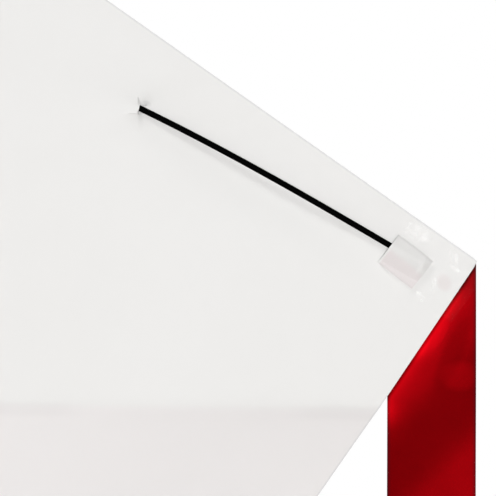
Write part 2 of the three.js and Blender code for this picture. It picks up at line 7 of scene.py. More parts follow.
# %% Load the frame
import math
import bpy
import numpy as np
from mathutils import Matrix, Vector


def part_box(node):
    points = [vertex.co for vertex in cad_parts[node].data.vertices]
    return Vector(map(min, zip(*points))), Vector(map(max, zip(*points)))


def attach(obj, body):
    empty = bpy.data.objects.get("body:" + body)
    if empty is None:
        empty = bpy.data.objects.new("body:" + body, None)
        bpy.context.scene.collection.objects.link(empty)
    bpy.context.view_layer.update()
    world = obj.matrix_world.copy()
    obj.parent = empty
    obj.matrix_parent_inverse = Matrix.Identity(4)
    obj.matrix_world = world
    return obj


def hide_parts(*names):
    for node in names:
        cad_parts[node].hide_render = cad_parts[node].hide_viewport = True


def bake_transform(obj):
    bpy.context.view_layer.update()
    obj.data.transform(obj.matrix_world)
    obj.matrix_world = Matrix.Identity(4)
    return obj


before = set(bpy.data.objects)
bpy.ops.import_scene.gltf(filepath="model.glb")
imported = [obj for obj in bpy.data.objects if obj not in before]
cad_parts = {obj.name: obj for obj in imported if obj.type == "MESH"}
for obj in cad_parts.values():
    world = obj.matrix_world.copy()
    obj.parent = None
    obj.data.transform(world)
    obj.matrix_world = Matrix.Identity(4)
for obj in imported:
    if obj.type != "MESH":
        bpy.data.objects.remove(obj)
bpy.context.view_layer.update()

# %% [markdown]
# The kite is drawn in millimetres. Height is counted from the level of the side corners, and depth from
# the plane of the bow, with the minus side towards the viewer. The sail's half width and its two edges'
# heights give its shape, and the thicknesses of rods and film give how deep each layer lies.

# %% Sizes of the kite
MM = 0.001
half_span = 300.0
nose_rise = 211.0
tip_drop = 446.0
joiner_back = 2.7
edge_angle = math.atan2(nose_rise, half_span)
bow_radius = 1.0
spine_radius = 1.2
layer_gap = 0.3
film_half = 0.2
spine_depth = -(bow_radius + layer_gap + spine_radius)
weave_depth = bow_radius + layer_gap + film_half
ribbon_width = 29.8
ribbon_inset = 0.6
ribbon_centre = half_span - ribbon_inset - ribbon_width / 2


def along_edge(distance, inward):
    """Place of a point on the right leading edge, back from the side corner and moved into the sail."""
    back = Vector((-math.cos(edge_angle), math.sin(edge_angle)))
    into = Vector((-math.sin(edge_angle), -math.cos(edge_angle)))
    return Vector((half_span, 0)) + back * distance + into * inward


bow_end = along_edge(15.6, 11.8)
bow_slope = math.radians(30.5)
pocket_length = 14.5
pocket_width = 11.4
pocket_centre = along_edge(19.9, 14.3)
pocket_turn = math.radians(2.5)
pocket_angle = edge_angle + pocket_turn
print("bow's end", round(bow_end.x, 1), "mm from the spine")

# %% [markdown]
# A rod that is pushed together between two pins doesn't bend into part of a circle. It bends most in its
# middle and not at all at its ends. Its slope is followed in small steps from the end to the spine, with a
# bend that grows with the height reached, and the curve is then scaled to the kite's span.

# %% Line of the bow
bow_steps = 56
slit_place = 186.7


def bow_line(count):
    """Places on the bow's right half, from its end to the spine, as (x, z) in millimetres."""
    step = 0.002
    slope, run, rise = bow_slope, 0.0, 0.0
    places = [(0.0, 0.0)]
    while slope > 0:
        middle = slope - rise * step / 2
        run += math.cos(middle) * step
        rise += math.sin(middle) * step
        slope -= rise * step
        places.append((run, rise))
    scale = bow_end.x / run
    kept = [places[round((len(places) - 1) * i / count)] for i in range(count + 1)]
    return [(bow_end.x - x * scale, bow_end.y + z * scale) for x, z in kept]


bow_half = bow_line(bow_steps)
bow_x = np.array([x for x, z in bow_half])[::-1]
bow_z = np.array([z for x, z in bow_half])[::-1]
cross_height = bow_z[0]
slit_height = float(np.interp(slit_place, bow_x, bow_z))
print("bow crosses the spine", round(cross_height, 3), "mm up, slit at", round(slit_height, 2), "mm")

# %% [markdown]
# The frame counts in metres from the middle of the joiner's flat back, which lies where the rods cross. One
# helper turns a place in the drawing into a point of the frame.

# %% From the drawing to the frame


def in_frame(x, y, z):
    """Drawing millimetres as a point of the frame, in metres."""
    return Vector((x, y - joiner_back, z - cross_height)) * MM


print("side corner at", tuple(round(value, 4) for value in in_frame(half_span, weave_depth, 0)))

# %% [markdown]
# The photograph shows only the right side corner, seen straight from the front with a long lens. A 200 mm
# lens sees 36 mm of width for every 200 mm of distance, so the width of the picture sets how far away the
# camera stands.

# %% Camera
picture_width = 166.2
picture_middle = (222.9, 4.43)
lens = 200.0
sensor = 36.0
camera_distance = picture_width * lens / sensor
bpy.ops.object.select_all(action="DESELECT")
bpy.ops.object.camera_add(
    location=in_frame(picture_middle[0], weave_depth - camera_distance, picture_middle[1]),
    rotation=(math.radians(90), 0, 0),
)
camera = bpy.context.object
camera.data.lens = lens
camera.data.sensor_width = sensor
camera.data.clip_start = 0.05
bpy.context.scene.camera = camera
print("camera", round(camera_distance), "mm in front of the film")

# %% [markdown]
# The object was photographed on pure white. A world that is white where the camera looks at it, and almost
# dark where it lights the kite, gives that background without washing out the shading: a Light Path node
# tells the two apart.

# %% White world
world_light = 0.02
white = (1, 1, 1, 1)
scene = bpy.context.scene
scene.view_settings.view_transform = "Standard"
world = bpy.data.worlds.new("studio_white")
scene.world = world
world.use_nodes = True
nodes, links = world.node_tree.nodes, world.node_tree.links
nodes["Background"].inputs["Color"].default_value = white
nodes["Background"].inputs["Strength"].default_value = world_light
seen = nodes.new("ShaderNodeBackground")
seen.inputs["Color"].default_value = white
seen.inputs["Strength"].default_value = 1.0
mix = nodes.new("ShaderNodeMixShader")
links.new(nodes.new("ShaderNodeLightPath").outputs["Is Camera Ray"], mix.inputs[0])
links.new(nodes["Background"].outputs[0], mix.inputs[1])
links.new(seen.outputs[0], mix.inputs[2])
links.new(mix.outputs[0], nodes["World Output"].inputs["Surface"])
print("white world that lights the kite with", world_light)

# %% [markdown]
# Most of the light in the photograph comes from close to the camera, so almost no shading shows round the
# pocket. A second lamp at the upper left draws the rod's soft shadow on the slack film. A weak fill stands
# at the right, and one more lamp lights the kite's back. The lamps also light the floor, which throws some
# of their light up against the film. A mid grey paper keeps that bounce as weak as in the photograph.

# %% Lamps and floor
floor_size = 5
floor_height = -1.0


def soft_lamp(name, place, power, size, aim=(0.15, 0, -0.15)):
    """A square lamp that the camera doesn't see, turned to the kite."""
    bpy.ops.object.light_add(type="AREA", location=place)
    lamp = bpy.context.object
    lamp.name = name
    lamp.data.energy = power
    lamp.data.size = size
    lamp.rotation_euler = (Vector(aim) - Vector(place)).to_track_quat("-Z", "Y").to_euler()
    lamp.visible_camera = False


soft_lamp("front", (0.22, -3.4, -0.3), power=90, size=0.35, aim=(0.22, 0, -0.1))
soft_lamp("key", (-1.2, -2.0, 3.0), power=38, size=0.8)
soft_lamp("fill", (2.4, -2.6, 0.6), power=3, size=2.0)
soft_lamp("back_light", (-1.0, 3.0, 1.6), power=145, size=2.0)

bpy.ops.mesh.primitive_plane_add(size=floor_size, location=(0, 0, floor_height))
floor = bpy.context.object
floor.name = "floor"
print("four lamps and a floor a metre under the joiner")

# %% [markdown]
# Each finish is a small set of shader nodes. A class with one short function for each kind of step lets a
# recipe read as a list: add a noise, turn it into a share, blend two colours by it, and give the result to
# the shader.

# %% Helpers for finishes


class Finish:
    """A material being put together round its Principled shader."""

    def __init__(self, name, **sockets):
        self.material = bpy.data.materials.new(name)
        self.material.use_nodes = True
        self.nodes = self.material.node_tree.nodes
        self.links = self.material.node_tree.links
        self.shader = self.nodes["Principled BSDF"]
        for socket, value in sockets.items():
            self.shader.inputs[socket.replace("_", " ")].default_value = value

    def add(self, kind, settings=None, **inputs):
        """A node of one kind. Inputs are numbers, colours or other nodes' outputs."""
        node = self.nodes.new("ShaderNode" + kind)
        for name, value in (settings or {}).items():
            setattr(node, name, value)
        for name, value in inputs.items():
            number = name[1:]
            socket = node.inputs[int(number) if number.isdigit() else name.replace("_", " ")]
            if isinstance(value, bpy.types.NodeSocket):
                self.links.new(value, socket)
            else:
                socket.default_value = value
        return node

    def give(self, socket, value):
        self.links.new(value, self.shader.inputs[socket])

    def math(self, operation, *values):
        """The result of a sum on numbers and outputs."""
        inputs = {f"i{i}": value for i, value in enumerate(values)}
        return self.add("Math", {"operation": operation}, **inputs).outputs[0]

    def plus(self, first, second):
        return self.math("ADD", first, second)

    def minus(self, first, second):
        return self.math("SUBTRACT", first, second)

    def times(self, first, second):
        return self.math("MULTIPLY", first, second)

    def ramp(self, value, low, high, start=0.0, end=1.0):
        """The value from low to high, turned smoothly into start to end."""
        node = self.add(
            "MapRange", {"interpolation_type": "SMOOTHSTEP"},
            Value=value, From_Min=low, From_Max=high, To_Min=start, To_Max=end,
        )
        return node.outputs["Result"]

    def blend(self, share, first, second):
        """A colour between two, by a share."""
        return self.add("Mix", {"data_type": "RGBA"}, i0=share, i6=first, i7=second).outputs[2]

    def noise(self, place, scale, detail, **inputs):
        return self.add("TexNoise", Vector=place, Scale=scale, Detail=detail, **inputs).outputs[0]

    def cracks(self, place, scale):
        """Distance from the nearest line of a net of cracks."""
        settings = {"feature": "DISTANCE_TO_EDGE"}
        return self.add("TexVoronoi", settings, Vector=place, Scale=scale).outputs["Distance"]

    def stretched(self, place, scale, turn=(0, 0, 0)):
        return self.add("Mapping", Vector=place, Scale=scale, Rotation=turn).outputs[0]

    def relief(self, height, strength, distance):
        """A fine relief of the surface, with its depth in metres."""
        node = self.add("Bump", Height=height, Strength=strength, Distance=distance)
        self.give("Normal", node.outputs[0])

    def place(self):
        """The object coordinates, in metres."""
        return self.add("TexCoord").outputs["Object"]

    def side_and_level(self, place):
        """Distance from the spine and height over the side corners, in metres."""
        parts = self.add("SeparateXYZ", Vector=place).outputs
        return self.math("ABSOLUTE", parts[0]), self.plus(parts[2], cross_height * MM)

    def across_and_along(self):
        """The two directions of the piece's UV map."""
        parts = self.add("SeparateXYZ", Vector=self.add("TexCoord").outputs["UV"]).outputs
        return parts[0], parts[1]


print("helpers for finishes are ready")

# %% [markdown]
# Some marks have a place on the kite, such as the line along its edge or a spot where two layers touch. Two
# more helpers find them. One measures how far a point lies from the kite's outline, and the other draws a
# soft ellipse.

# %% Helpers for marks on the kite


def outline_distance(finish, side, level):
    """Distance from the kite's outline, in metres, positive inside."""
    rooms = []
    for corner, up in ((nose_rise, 1), (tip_drop, -1)):
        reach = finish.plus(finish.times(side, corner), finish.times(level, up * half_span))
        room = finish.minus(half_span * corner * MM, reach)
        rooms.append(finish.math("DIVIDE", room, math.hypot(half_span, corner)))
    return finish.math("MINIMUM", *rooms)


def soft_spot(finish, side, level, middle, half_sizes, lean=0.0):
    """1 in the middle of a soft ellipse and 0 outside it. Places are in millimetres, as in the drawing."""
    right = finish.minus(side, middle[0] * MM)
    up = finish.minus(level, middle[1] * MM)
    lengthwise = finish.plus(finish.times(right, math.cos(lean)), finish.times(up, math.sin(lean)))
    crosswise = finish.minus(finish.times(up, math.cos(lean)), finish.times(right, math.sin(lean)))
    squares = []
    for way, half in zip((lengthwise, crosswise), half_sizes):
        share = finish.math("DIVIDE", way, half * MM)
        squares.append(finish.times(share, share))
    return finish.ramp(finish.plus(*squares), 0.1, 1.0, 1.0, 0.0)


print("helpers for marks are ready")

# %% [markdown]
# The sail is a thin plastic film with a dull gloss and a faint cloudiness. Below the fold it is painted a
# little warmer and darker as painted shade, with a painted shade line along parts of the fold. At the side
# corners the red ribbon behind it shines through in one soft spot where the two touch, and a small painted
# shadow of the slit's upper lip lies above the rod.

# %% Sail film finish
fold_slope = 0.013
fold_middle = 150
film = Finish("sail_film", Roughness=0.5, Specular_IOR_Level=0.06)
place = film.place()
side, level = film.side_and_level(place)
cloud = film.noise(place, 9.0, 3.0, Roughness=0.55)
tone = film.blend(film.ramp(cloud, 0.35, 0.65), (0.790, 0.783, 0.770, 1), (0.800, 0.794, 0.782, 1))

from_fold = film.plus(level, film.times(film.minus(side, fold_middle * MM), fold_slope))
# Painted shade: below the fold the film is painted a little darker and warmer.
shade_below_fold = film.ramp(from_fold, -0.050, -0.0465, 1.0, 0.0)
tone = film.blend(shade_below_fold, tone, (0.791, 0.767, 0.761, 1))
# Painted shade: a faint darker line along parts of the fold, where the film bends.
crease_shade_upper = film.ramp(from_fold, -0.0484, -0.0460, 1.0, 0.0)
painted_crease_shade = film.times(film.ramp(from_fold, -0.0530, -0.0502), crease_shade_upper)
crease_shade_inner = film.ramp(side, 0.156, 0.172, 0.30, 0.0)
crease_shade_outer = film.ramp(side, 0.228, 0.252, 0.0, 0.30)
painted_crease_shade = film.times(painted_crease_shade, film.plus(crease_shade_inner, crease_shade_outer))
tone = film.blend(painted_crease_shade, tone, (0.70, 0.68, 0.675, 1))

# Painted shadow: a small grey mark above the rod, where the slit's upper lip shades the film.
slit_lip_shadow = soft_spot(film, side, level, (189.2, 52.8), (1.8, 1.1), -0.5)
tone = film.blend(film.times(slit_lip_shadow, 0.35), tone, (0.55, 0.55, 0.55, 1))
touching = soft_spot(film, side, level, (288.6, -7.2), (3.0, 3.8), 0.3)
tone = film.blend(film.times(touching, 0.30), tone, (0.66, 0.56, 0.56, 1))
print("tones of the film are laid")

# %% [markdown]
# The film is cut with a hot knife, which leaves a fine grey line along its edge. It doesn't show where the
# ribbon lies behind the edge. The film's relief is made of fine stretched crinkles and of a wide net of soft
# creases.

# %% Sail film edge and relief
over_ribbon = film.times(film.ramp(side, 0.268, 0.270), film.ramp(level, -0.003, -0.001, 1.0, 0.0))
edge = film.ramp(outline_distance(film, side, level), 0.0002, 0.0008, 0.28, 0.0)
edge = film.times(edge, film.minus(1.0, over_ribbon))
film.give("Base Color", film.blend(edge, tone, (0.45, 0.46, 0.48, 1)))
crinkles = film.noise(film.stretched(place, (1, 1, 0.35)), 90.0, 4.0)
creases = film.cracks(film.stretched(place, (1, 1, 0.6), (0, 0.5, 0)), 16.0)
height = film.plus(film.times(crinkles, 0.5), film.ramp(creases, 0.0, 0.05))
film.relief(height, 0.10, 0.0006)
print("finish", film.material.name)

# %% [markdown]
# The pockets are cut from a thicker, greyer film than the sail. On the UV map the first direction runs
# across the pocket and the second along it from its mouth. The half below the rod is a warmer grey. The
# upper side and the upper corner of the far end are painted paler, as painted light over the shade of the
# hump's slopes there. The long sides have a fine weld line, and the mouth is folded over.

# %% Pocket film finish
pocket_film = Finish("pocket_film", Roughness=0.5, Specular_IOR_Level=0.06)
place = pocket_film.place()
across, along = pocket_film.across_and_along()
cloud = pocket_film.noise(place, 160.0, 3.0)
tone = pocket_film.blend(cloud, (0.718, 0.710, 0.698, 1), (0.748, 0.742, 0.728, 1))
lower_half = pocket_film.ramp(across, 0.42, 0.62, 1.0, 0.0)
tone = pocket_film.blend(lower_half, tone, (0.735, 0.690, 0.686, 1))
# Painted light: the far end's upper corner and the upper side are painted paler, lifting the hump's shade.
lit_far_corner = pocket_film.times(pocket_film.ramp(along, 0.78, 0.88), pocket_film.ramp(across, 0.4, 0.6))
lit_upper_side = pocket_film.ramp(across, 0.70, 0.95, 0.0, 0.6)
tone = pocket_film.blend(pocket_film.math("MAXIMUM", lit_far_corner, lit_upper_side), tone, (0.81, 0.80, 0.785, 1))
from_middle = pocket_film.math("ABSOLUTE", pocket_film.minus(across, 0.5))
weld_outer = pocket_film.ramp(from_middle, 0.47, 0.49, 1.0, 0.0)
weld = pocket_film.times(pocket_film.ramp(from_middle, 0.44, 0.46), weld_outer)
tone = pocket_film.blend(pocket_film.times(weld, 0.15), tone, (0.58, 0.57, 0.57, 1))
mouth = pocket_film.ramp(along, 0.02, 0.07, 1.0, 0.0)
pocket_film.give("Base Color", pocket_film.blend(mouth, tone, (0.755, 0.75, 0.735, 1)))
pocket_film.relief(pocket_film.noise(place, 1400.0, 2.0), 0.1, 0.0002)
print("finish", pocket_film.material.name)

# %% [markdown]
# The rods are black glass fibre, drawn lengthwise, so their fine grain runs along them. The grain follows
# the rod's own UV map, which counts round it in one direction and along it in the other.

# %% Rod finish
rod_black = Finish("black_rod", Roughness=0.5, Specular_IOR_Level=0.006)
length_map = rod_black.add("TexCoord").outputs["UV"]
strands = rod_black.noise(rod_black.stretched(length_map, (60, 4, 1)), 1.0, 4.0)
tone = rod_black.blend(strands, (0.0004, 0.0004, 0.0004, 1), (0.0014, 0.0014, 0.0014, 1))
rod_black.give("Base Color", tone)
rod_black.give("Roughness", rod_black.ramp(strands, 0.3, 0.7, 0.38, 0.55))
rod_black.relief(strands, 0.25, 0.00005)
print("finish", rod_black.material.name)

# %% [markdown]
# Clear tape is seen by what it does to the light. Most of it is next to invisible. Where it is crinkled or
# lifted from the film it turns whitish and shines. The strips crinkle all over, in fine ridges. On the
# corner tapes the crinkles are few and lie where the photograph has them: a lifted patch at the tape's end,
# and streaks between the pocket and the corner.

# %% Clear tape finishes


def clear_tape(name, crinkles):
    """Tape whose alpha follows its crinkles: 0 where it is clear and 1 where it shows."""
    tape = Finish(name, Roughness=0.38, Specular_IOR_Level=0.5)
    tape.shader.inputs["Base Color"].default_value = (0.96, 0.96, 0.955, 1)
    place = tape.place()
    tape.give("Alpha", tape.ramp(crinkles(tape, place), 0.0, 1.0, 0.001, 0.5))
    tape.relief(tape.noise(place, 900.0, 2.0), 0.01, 0.0002)
    print("finish", name)
    return tape


def crinkled_all_over(tape, place):
    """Fine ridges in patches, on a net of cracks that a noise has bent."""
    wander = tape.add("TexNoise", Vector=place, Scale=70.0, Detail=2.0).outputs["Color"]
    moved = tape.add("Mix", {"data_type": "VECTOR"}, i0=0.012, i4=place, i5=wander).outputs[1]
    ridges = tape.cracks(tape.stretched(moved, (1, 1, 0.55), (0, 0.45, 0)), 150.0)
    patches = tape.ramp(tape.noise(place, 95.0, 2.0), 0.48, 0.66)
    return tape.plus(tape.times(tape.ramp(ridges, 0.0, 0.07, 1.0, 0.0), patches), 0.08)


# Whitish crinkles of a corner tape, partly painted highlight: distance back along the edge and into the
# sail, half length, half width, lean from the edge's direction, and strength
corner_crinkle_highlights = (
    (22.0, 3.9, 7.0, 3.7, 0.05, 0.17),
    (8.8, 3.9, 3.2, 0.9, -0.83, 0.12),
    (6.6, 3.4, 3.6, 0.9, -0.83, 0.16),
    (5.0, 6.6, 2.8, 1.0, 0.05, 0.20),
    (7.8, 14.6, 3.8, 0.9, -1.23, 0.20),
    (10.2, 20.3, 2.2, 0.9, -0.12, 0.18),
    (8.3, 21.6, 1.8, 0.8, 1.49, 0.20),
)


def highlighted_crinkles_at_corner(tape, place):
    """The crinkles listed above, whitish partly as painted highlight, broken up by a fine grain."""
    side, level = tape.side_and_level(place)
    crinkle_highlight = 0.0
    for back, inward, half_length, half_width, lean, strength in corner_crinkle_highlights:
        middle = along_edge(back, inward)
        spot = soft_spot(tape, side, level, middle, (half_length, half_width), lean - edge_angle)
        crinkle_highlight = tape.plus(crinkle_highlight, tape.times(spot, strength))
    return tape.times(crinkle_highlight, tape.ramp(tape.noise(place, 520.0, 3.0), 0.3, 0.65, 0.4, 1.4))


strip_tape = clear_tape("strip_tape", crinkled_all_over)
corner_tape = clear_tape("corner_tape", highlighted_crinkles_at_corner)

# %% [markdown]
# The tails are red satin ribbon. Satin shines in its own colour, so the shader is part metallic and has no
# white gloss. Its tone is painted light and shade: painted dark bands run aslant where it turns away from
# the light, and a painted glow lies beside the film's edge.

# %% Ribbon's painted shade and glow
shade_band_place = 341.5
shade_band_spacing = 105
satin = Finish("red_ribbon", Roughness=0.5, Metallic=0.12, Specular_IOR_Level=0.0)
place = satin.place()
side, level = satin.side_and_level(place)
from_film = satin.times(outline_distance(satin, side, level), -1.0)
from_border = satin.minus(side, (ribbon_centre - ribbon_width / 2) * MM)
beside = satin.math("MAXIMUM", satin.math("MINIMUM", from_film, from_border), 0.0)


def glow(reach, *heights):
    """Painted light beside the film's edge that fades over a reach, between heights given as the start of
    its rise, its end, the start of its fall and its end."""
    faded = satin.math("EXPONENT", satin.math("DIVIDE", beside, -reach * MM))
    low, low_full, high_full, high = [height * MM for height in heights]
    rise = satin.ramp(level, low, low_full)
    fall = satin.ramp(level, high_full, high, 1.0, 0.0)
    return satin.times(faded, satin.times(rise, fall))


# Painted shade in slanting dark bands, and painted light as a glow beside the film's edge.
slant = satin.minus(satin.minus(side, level), shade_band_place * MM)
shade_band = satin.math("SINE", satin.times(slant, math.pi / (shade_band_spacing * MM)))
shine = satin.ramp(satin.times(shade_band, shade_band), 0.0, 0.35, 0.152, 0.25)
shine = satin.plus(shine, satin.times(glow(2.6, -58, -49, -33, -24), 0.36))
shine = satin.plus(shine, satin.times(glow(1.9, -35, -28, -17, -7), 0.80))
print("ribbon's bands and glow are laid")

# %% [markdown]
# Three soft spots of painted light and shade finish the glow: a painted highlight under the film's edge, a
# short painted highlight streak in the brightest part and a patch of painted shade beside it. The film's
# edge throws a narrow painted shadow on the ribbon. The ribbon's own borders are nearly black. The cross
# threads are a fine relief on the UV map, whose second direction counts metres.

# %% Ribbon finish
thread_spacing = 0.00035
ribs_across = 90
# Painted light: a soft highlight under the film's edge and a highlight streak, with painted shade beside
# them.
swell = soft_spot(satin, side, level, (293.9, -38.5), (8.0, 6.0))
shine = satin.plus(shine, satin.times(swell, 0.07))
painted_streak = soft_spot(satin, side, level, (287.4, -24.8), (6.5, 1.9), 1.05)
shine = satin.plus(shine, satin.times(painted_streak, 0.09))
painted_dark_patch = soft_spot(satin, side, level, (291.2, -31.5), (4.5, 16.0), -0.4)
shine = satin.times(shine, satin.minus(1.0, satin.times(painted_dark_patch, 0.2)))
# Painted shadow: a narrow dark line on the ribbon beside the film's edge.
edge_shadow_reach = satin.math("MAXIMUM", from_film, 0.0)
shine = satin.times(shine, satin.ramp(edge_shadow_reach, 0.0002, 0.0016, 0.32, 1.0))
shine = satin.times(shine, satin.ramp(satin.noise(place, 60.0, 3.0), 0.3, 0.7, 0.95, 1.05))
tone = satin.add("VectorMath", {"operation": "SCALE"}, i0=(1.0, 0.003, 0.010), Scale=shine).outputs[0]
across, along = satin.across_and_along()
from_middle = satin.math("ABSOLUTE", satin.minus(across, 0.5))
border = satin.ramp(from_middle, 0.45, 0.5, 0.0, 0.62)
satin.give("Base Color", satin.blend(border, tone, (0.03, 0.004, 0.006, 1)))
threads = satin.math("SINE", satin.times(along, 2 * math.pi / thread_spacing))
ribs = satin.math("SINE", satin.times(across, 2 * math.pi * ribs_across))
satin.relief(satin.plus(threads, satin.times(ribs, 0.5)), 0.15, 0.00003)
print("finish", satin.material.name)

# %% [markdown]
# The joiner is moulded in off-white plastic, with the faint orange peel of a cheap tool. The floor is grey
# paper with soft fibres.

# %% Joiner and floor finishes
moulded = Finish("joiner_plastic", Roughness=0.45)
flow = moulded.noise(moulded.place(), 220.0, 3.0)
moulded.give("Base Color", moulded.blend(flow, (0.70, 0.70, 0.67, 1), (0.76, 0.76, 0.73, 1)))
moulded.give("Roughness", moulded.ramp(flow, 0.3, 0.7, 0.38, 0.52))
moulded.relief(flow, 0.2, 0.0001)
print("finish", moulded.material.name)

paper = Finish("floor_paper", Roughness=0.8)
fibres = paper.noise(paper.place(), 30.0, 5.0)
paper.give("Base Color", paper.blend(fibres, (0.42, 0.41, 0.40, 1), (0.46, 0.45, 0.44, 1)))
floor.data.materials.append(paper.material)
print("finish", paper.material.name)

# %% [markdown]
# Thin pieces all begin the same way: a flat grid is added, and each of its corners is put where a shape
# function says, from its two shares across and along. The grid keeps its UV map, so that a pattern can
# follow the piece. Solidify then gives the thickness, and the normals are turned outwards.

# %% Helpers for sheets
merge_distance = 1e-6


def select_only(piece):
    bpy.ops.object.select_all(action="DESELECT")
    piece.select_set(True)
    bpy.context.view_layer.objects.active = piece


def apply_modifier(piece, name, kind, **settings):
    """Adds a modifier, sets it and applies it."""
    select_only(piece)
    modifier = piece.modifiers.new(name, kind)
    for setting, value in settings.items():
        setattr(modifier, setting, value)
    bpy.ops.object.modifier_apply(modifier=modifier.name)


def add_grid(name, across, along):
    """A flat grid from 0 to 1 in both directions, with that many cells."""
    bpy.ops.object.select_all(action="DESELECT")
    bpy.ops.mesh.primitive_grid_add(
        x_subdivisions=across, y_subdivisions=along, size=1, location=(0.5, 0.5, 0)
    )
    piece = bpy.context.object
    piece.name = name
    bpy.ops.object.transform_apply(location=True, rotation=True, scale=True)
    return piece


def shape_grid(piece, shape):
    """Moves each corner to shape(across, along), which gives x, y and z in drawing millimetres."""
    flat = np.zeros(len(piece.data.vertices) * 3)
    piece.data.vertices.foreach_get("co", flat)
    flat = flat.reshape(-1, 3)
    x, y, z = shape(np.round(flat[:, 0], 6), np.round(flat[:, 1], 6))
    placed = np.column_stack([x, np.broadcast_to(y, x.shape) - joiner_back, z - cross_height]) * MM
    piece.data.vertices.foreach_set("co", placed.ravel())
    piece.data.update()


def thicken(piece, thickness, offset=0.0):
    """Gives a sheet its thickness and turns its faces outwards. Offset -1 grows it behind its faces."""
    apply_modifier(
        piece, "thickness", "SOLIDIFY", thickness=thickness * MM, offset=offset, use_even_offset=False
    )
    turn_outwards(piece)


def turn_outwards(piece):
    """Merges corners that lie in one place and points every face outwards."""
    select_only(piece)
    bpy.ops.object.mode_set(mode="EDIT")
    bpy.ops.mesh.select_all(action="SELECT")
    bpy.ops.mesh.remove_doubles(threshold=merge_distance)
    bpy.ops.mesh.normals_make_consistent(inside=False)
    bpy.ops.object.mode_set(mode="OBJECT")


def smooth(value):
    """0 to 1 with a soft start and end, for the shape functions."""
    share = np.clip(value, 0, 1)
    return share * share * (3 - 2 * share)


print("helpers for sheets are ready")

# %% [markdown]
# Solid pieces are joined and drilled with booleans, and their sharp edges are rounded a little, because no
# real edge is perfectly sharp. Every finished piece is then dressed: it gets its material, hides the CAD
# nodes that it stands for, and rides on its body.

# %% Helpers for solids and for dressing a piece
drill_length = 20
through = (math.radians(90), 0, 0)
sideways = (0, math.radians(90), 0)
upright = (0, 0, 0)


def combine(piece, other, how):
    """Joins the other shape to the piece or cuts it out, and removes it."""
    apply_modifier(piece, how.lower(), "BOOLEAN", object=other, operation=how, solver="EXACT")
    bpy.data.objects.remove(other)


def cylinder(radius, length, middle, turn, sides=48):
    """A cylinder in drawing millimetres. With no turn it stands upright."""
    bpy.ops.object.select_all(action="DESELECT")
    bpy.ops.mesh.primitive_cylinder_add(
        vertices=sides, radius=radius * MM, depth=length * MM, location=in_frame(*middle), rotation=turn
    )
    bpy.ops.object.transform_apply(location=True, rotation=True, scale=True)
    return bpy.context.object


def drill(piece, radius, middle, turn):
    """Cuts a round hole right through a piece."""
    combine(piece, cylinder(radius, drill_length, middle, turn), "DIFFERENCE")


def round_edges(piece, width, angle):
    """Bevels the edges that turn by more than an angle, given in degrees."""
    apply_modifier(
        piece, "edges", "BEVEL", width=width * MM, segments=2,
        limit_method="ANGLE", angle_limit=math.radians(angle),
    )


def dress(piece, finish, slot, body, *stands_for):
    """Gives a finished piece its material and its body, and hides the CAD nodes that it stands for.
    The slot is not used.
    """
    select_only(piece)
    bpy.ops.object.shade_smooth_by_angle(angle=math.radians(40))
    piece.data.materials.clear()
    piece.data.materials.append(finish.material)
    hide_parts(*stands_for)
    if body:
        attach(piece, body)
    print(piece.name, len(piece.data.polygons), "faces")


print("helpers for solids are ready")

# %% [markdown]
# The film is one sheet with two slits. The bow lies behind it in the middle, comes through a slit on each
# side and lies in front of it up to the corner. The film's depth is a function of its place: that weave,
# the slack that hangs behind the bow between slit and pocket, the ridge over the spine, and the lower
# panels, which fall back below a fold.

# %% Depth of the film
slit_half_length = 1.7
slit_half_width = 0.6
weave_spread = 4.0
weave_reach = 60.0
ridge_depth = spine_radius + layer_gap + film_half - spine_depth
ridge_reach = 80.0
fold_drop = 47.2
fold_step = 0.6
fold_step_width = 5.0
flare_slope = 0.36
flare_start = 38.0
flare_end_rise = 70.0
slack_depth = 2.0
slack_height = 20.0
slack_end = 266.0


def slack_behind_bow(side, z):
    """How far the slack film hangs behind the bow, between the slit and the pocket."""
    share = np.clip((side - slit_place) / (slack_end - slit_place), 0, 1)
    near_bow = smooth(1 - np.abs(z - np.interp(side, bow_x, bow_z)) / slack_height)
    return slack_depth * np.sin(share * math.pi) * near_bow


def flare_depth(side, z):
    """How far the film falls back below the fold."""
    below = np.maximum(0, -fold_drop - fold_slope * (side - fold_middle) - z)
    panel = half_span * (1 + z / tip_drop) - flare_start
    outward = np.where(panel > 0, smooth((side - flare_start) / np.maximum(panel, 1e-6)), 0)
    fall = flare_slope * below + fold_step * smooth(below / fold_step_width)
    left = np.maximum(0, 1 - below / (tip_drop - fold_drop - flare_end_rise))
    return outward * fall * left ** 2


def film_depth(x, z):
    """Depth of the middle of the film. Away from the rod the slit's lips come together again."""
    side = np.abs(x)
    past = np.maximum(0, np.abs(z - slit_height) - slit_half_length)
    reach = np.minimum(slit_half_width + past * weave_spread, weave_reach)
    turn = np.sin(np.clip((side - slit_place) / reach, -1, 1) * math.pi / 2)
    lip = np.sqrt(np.clip(1 - ((z - slit_height) / slit_half_length) ** 2, 0, 1))
    at_slit = (np.abs(side - slit_place) <= slit_half_width * 1.01) & (past == 0)
    turn = np.where(at_slit, np.sign(side - slit_place) * lip, turn)
    ridge = (ridge_depth - weave_depth) * np.maximum(0, 1 - side / ridge_reach)
    return turn * weave_depth - ridge + slack_behind_bow(side, z) + flare_depth(side, z)


print("film depth at the spine", float(film_depth(np.array(0.0), np.array(0.0))), "mm")

# %% [markdown]
# A film that is held only by its rods and its edges is never quite flat. Two crossing sets of long shallow
# waves run over it. They fade out towards the spine, the edges and the slits, where the film is held.

# %% Waves in the film
film_wave = 0.35
waves_from_spine, waves_to_side, waves_side_fade = 30, 262, 40
waves_top, waves_top_fade = 160, 30
waves_bottom, waves_bottom_fade = -380, 60
calm_width, calm_height = 18, 14


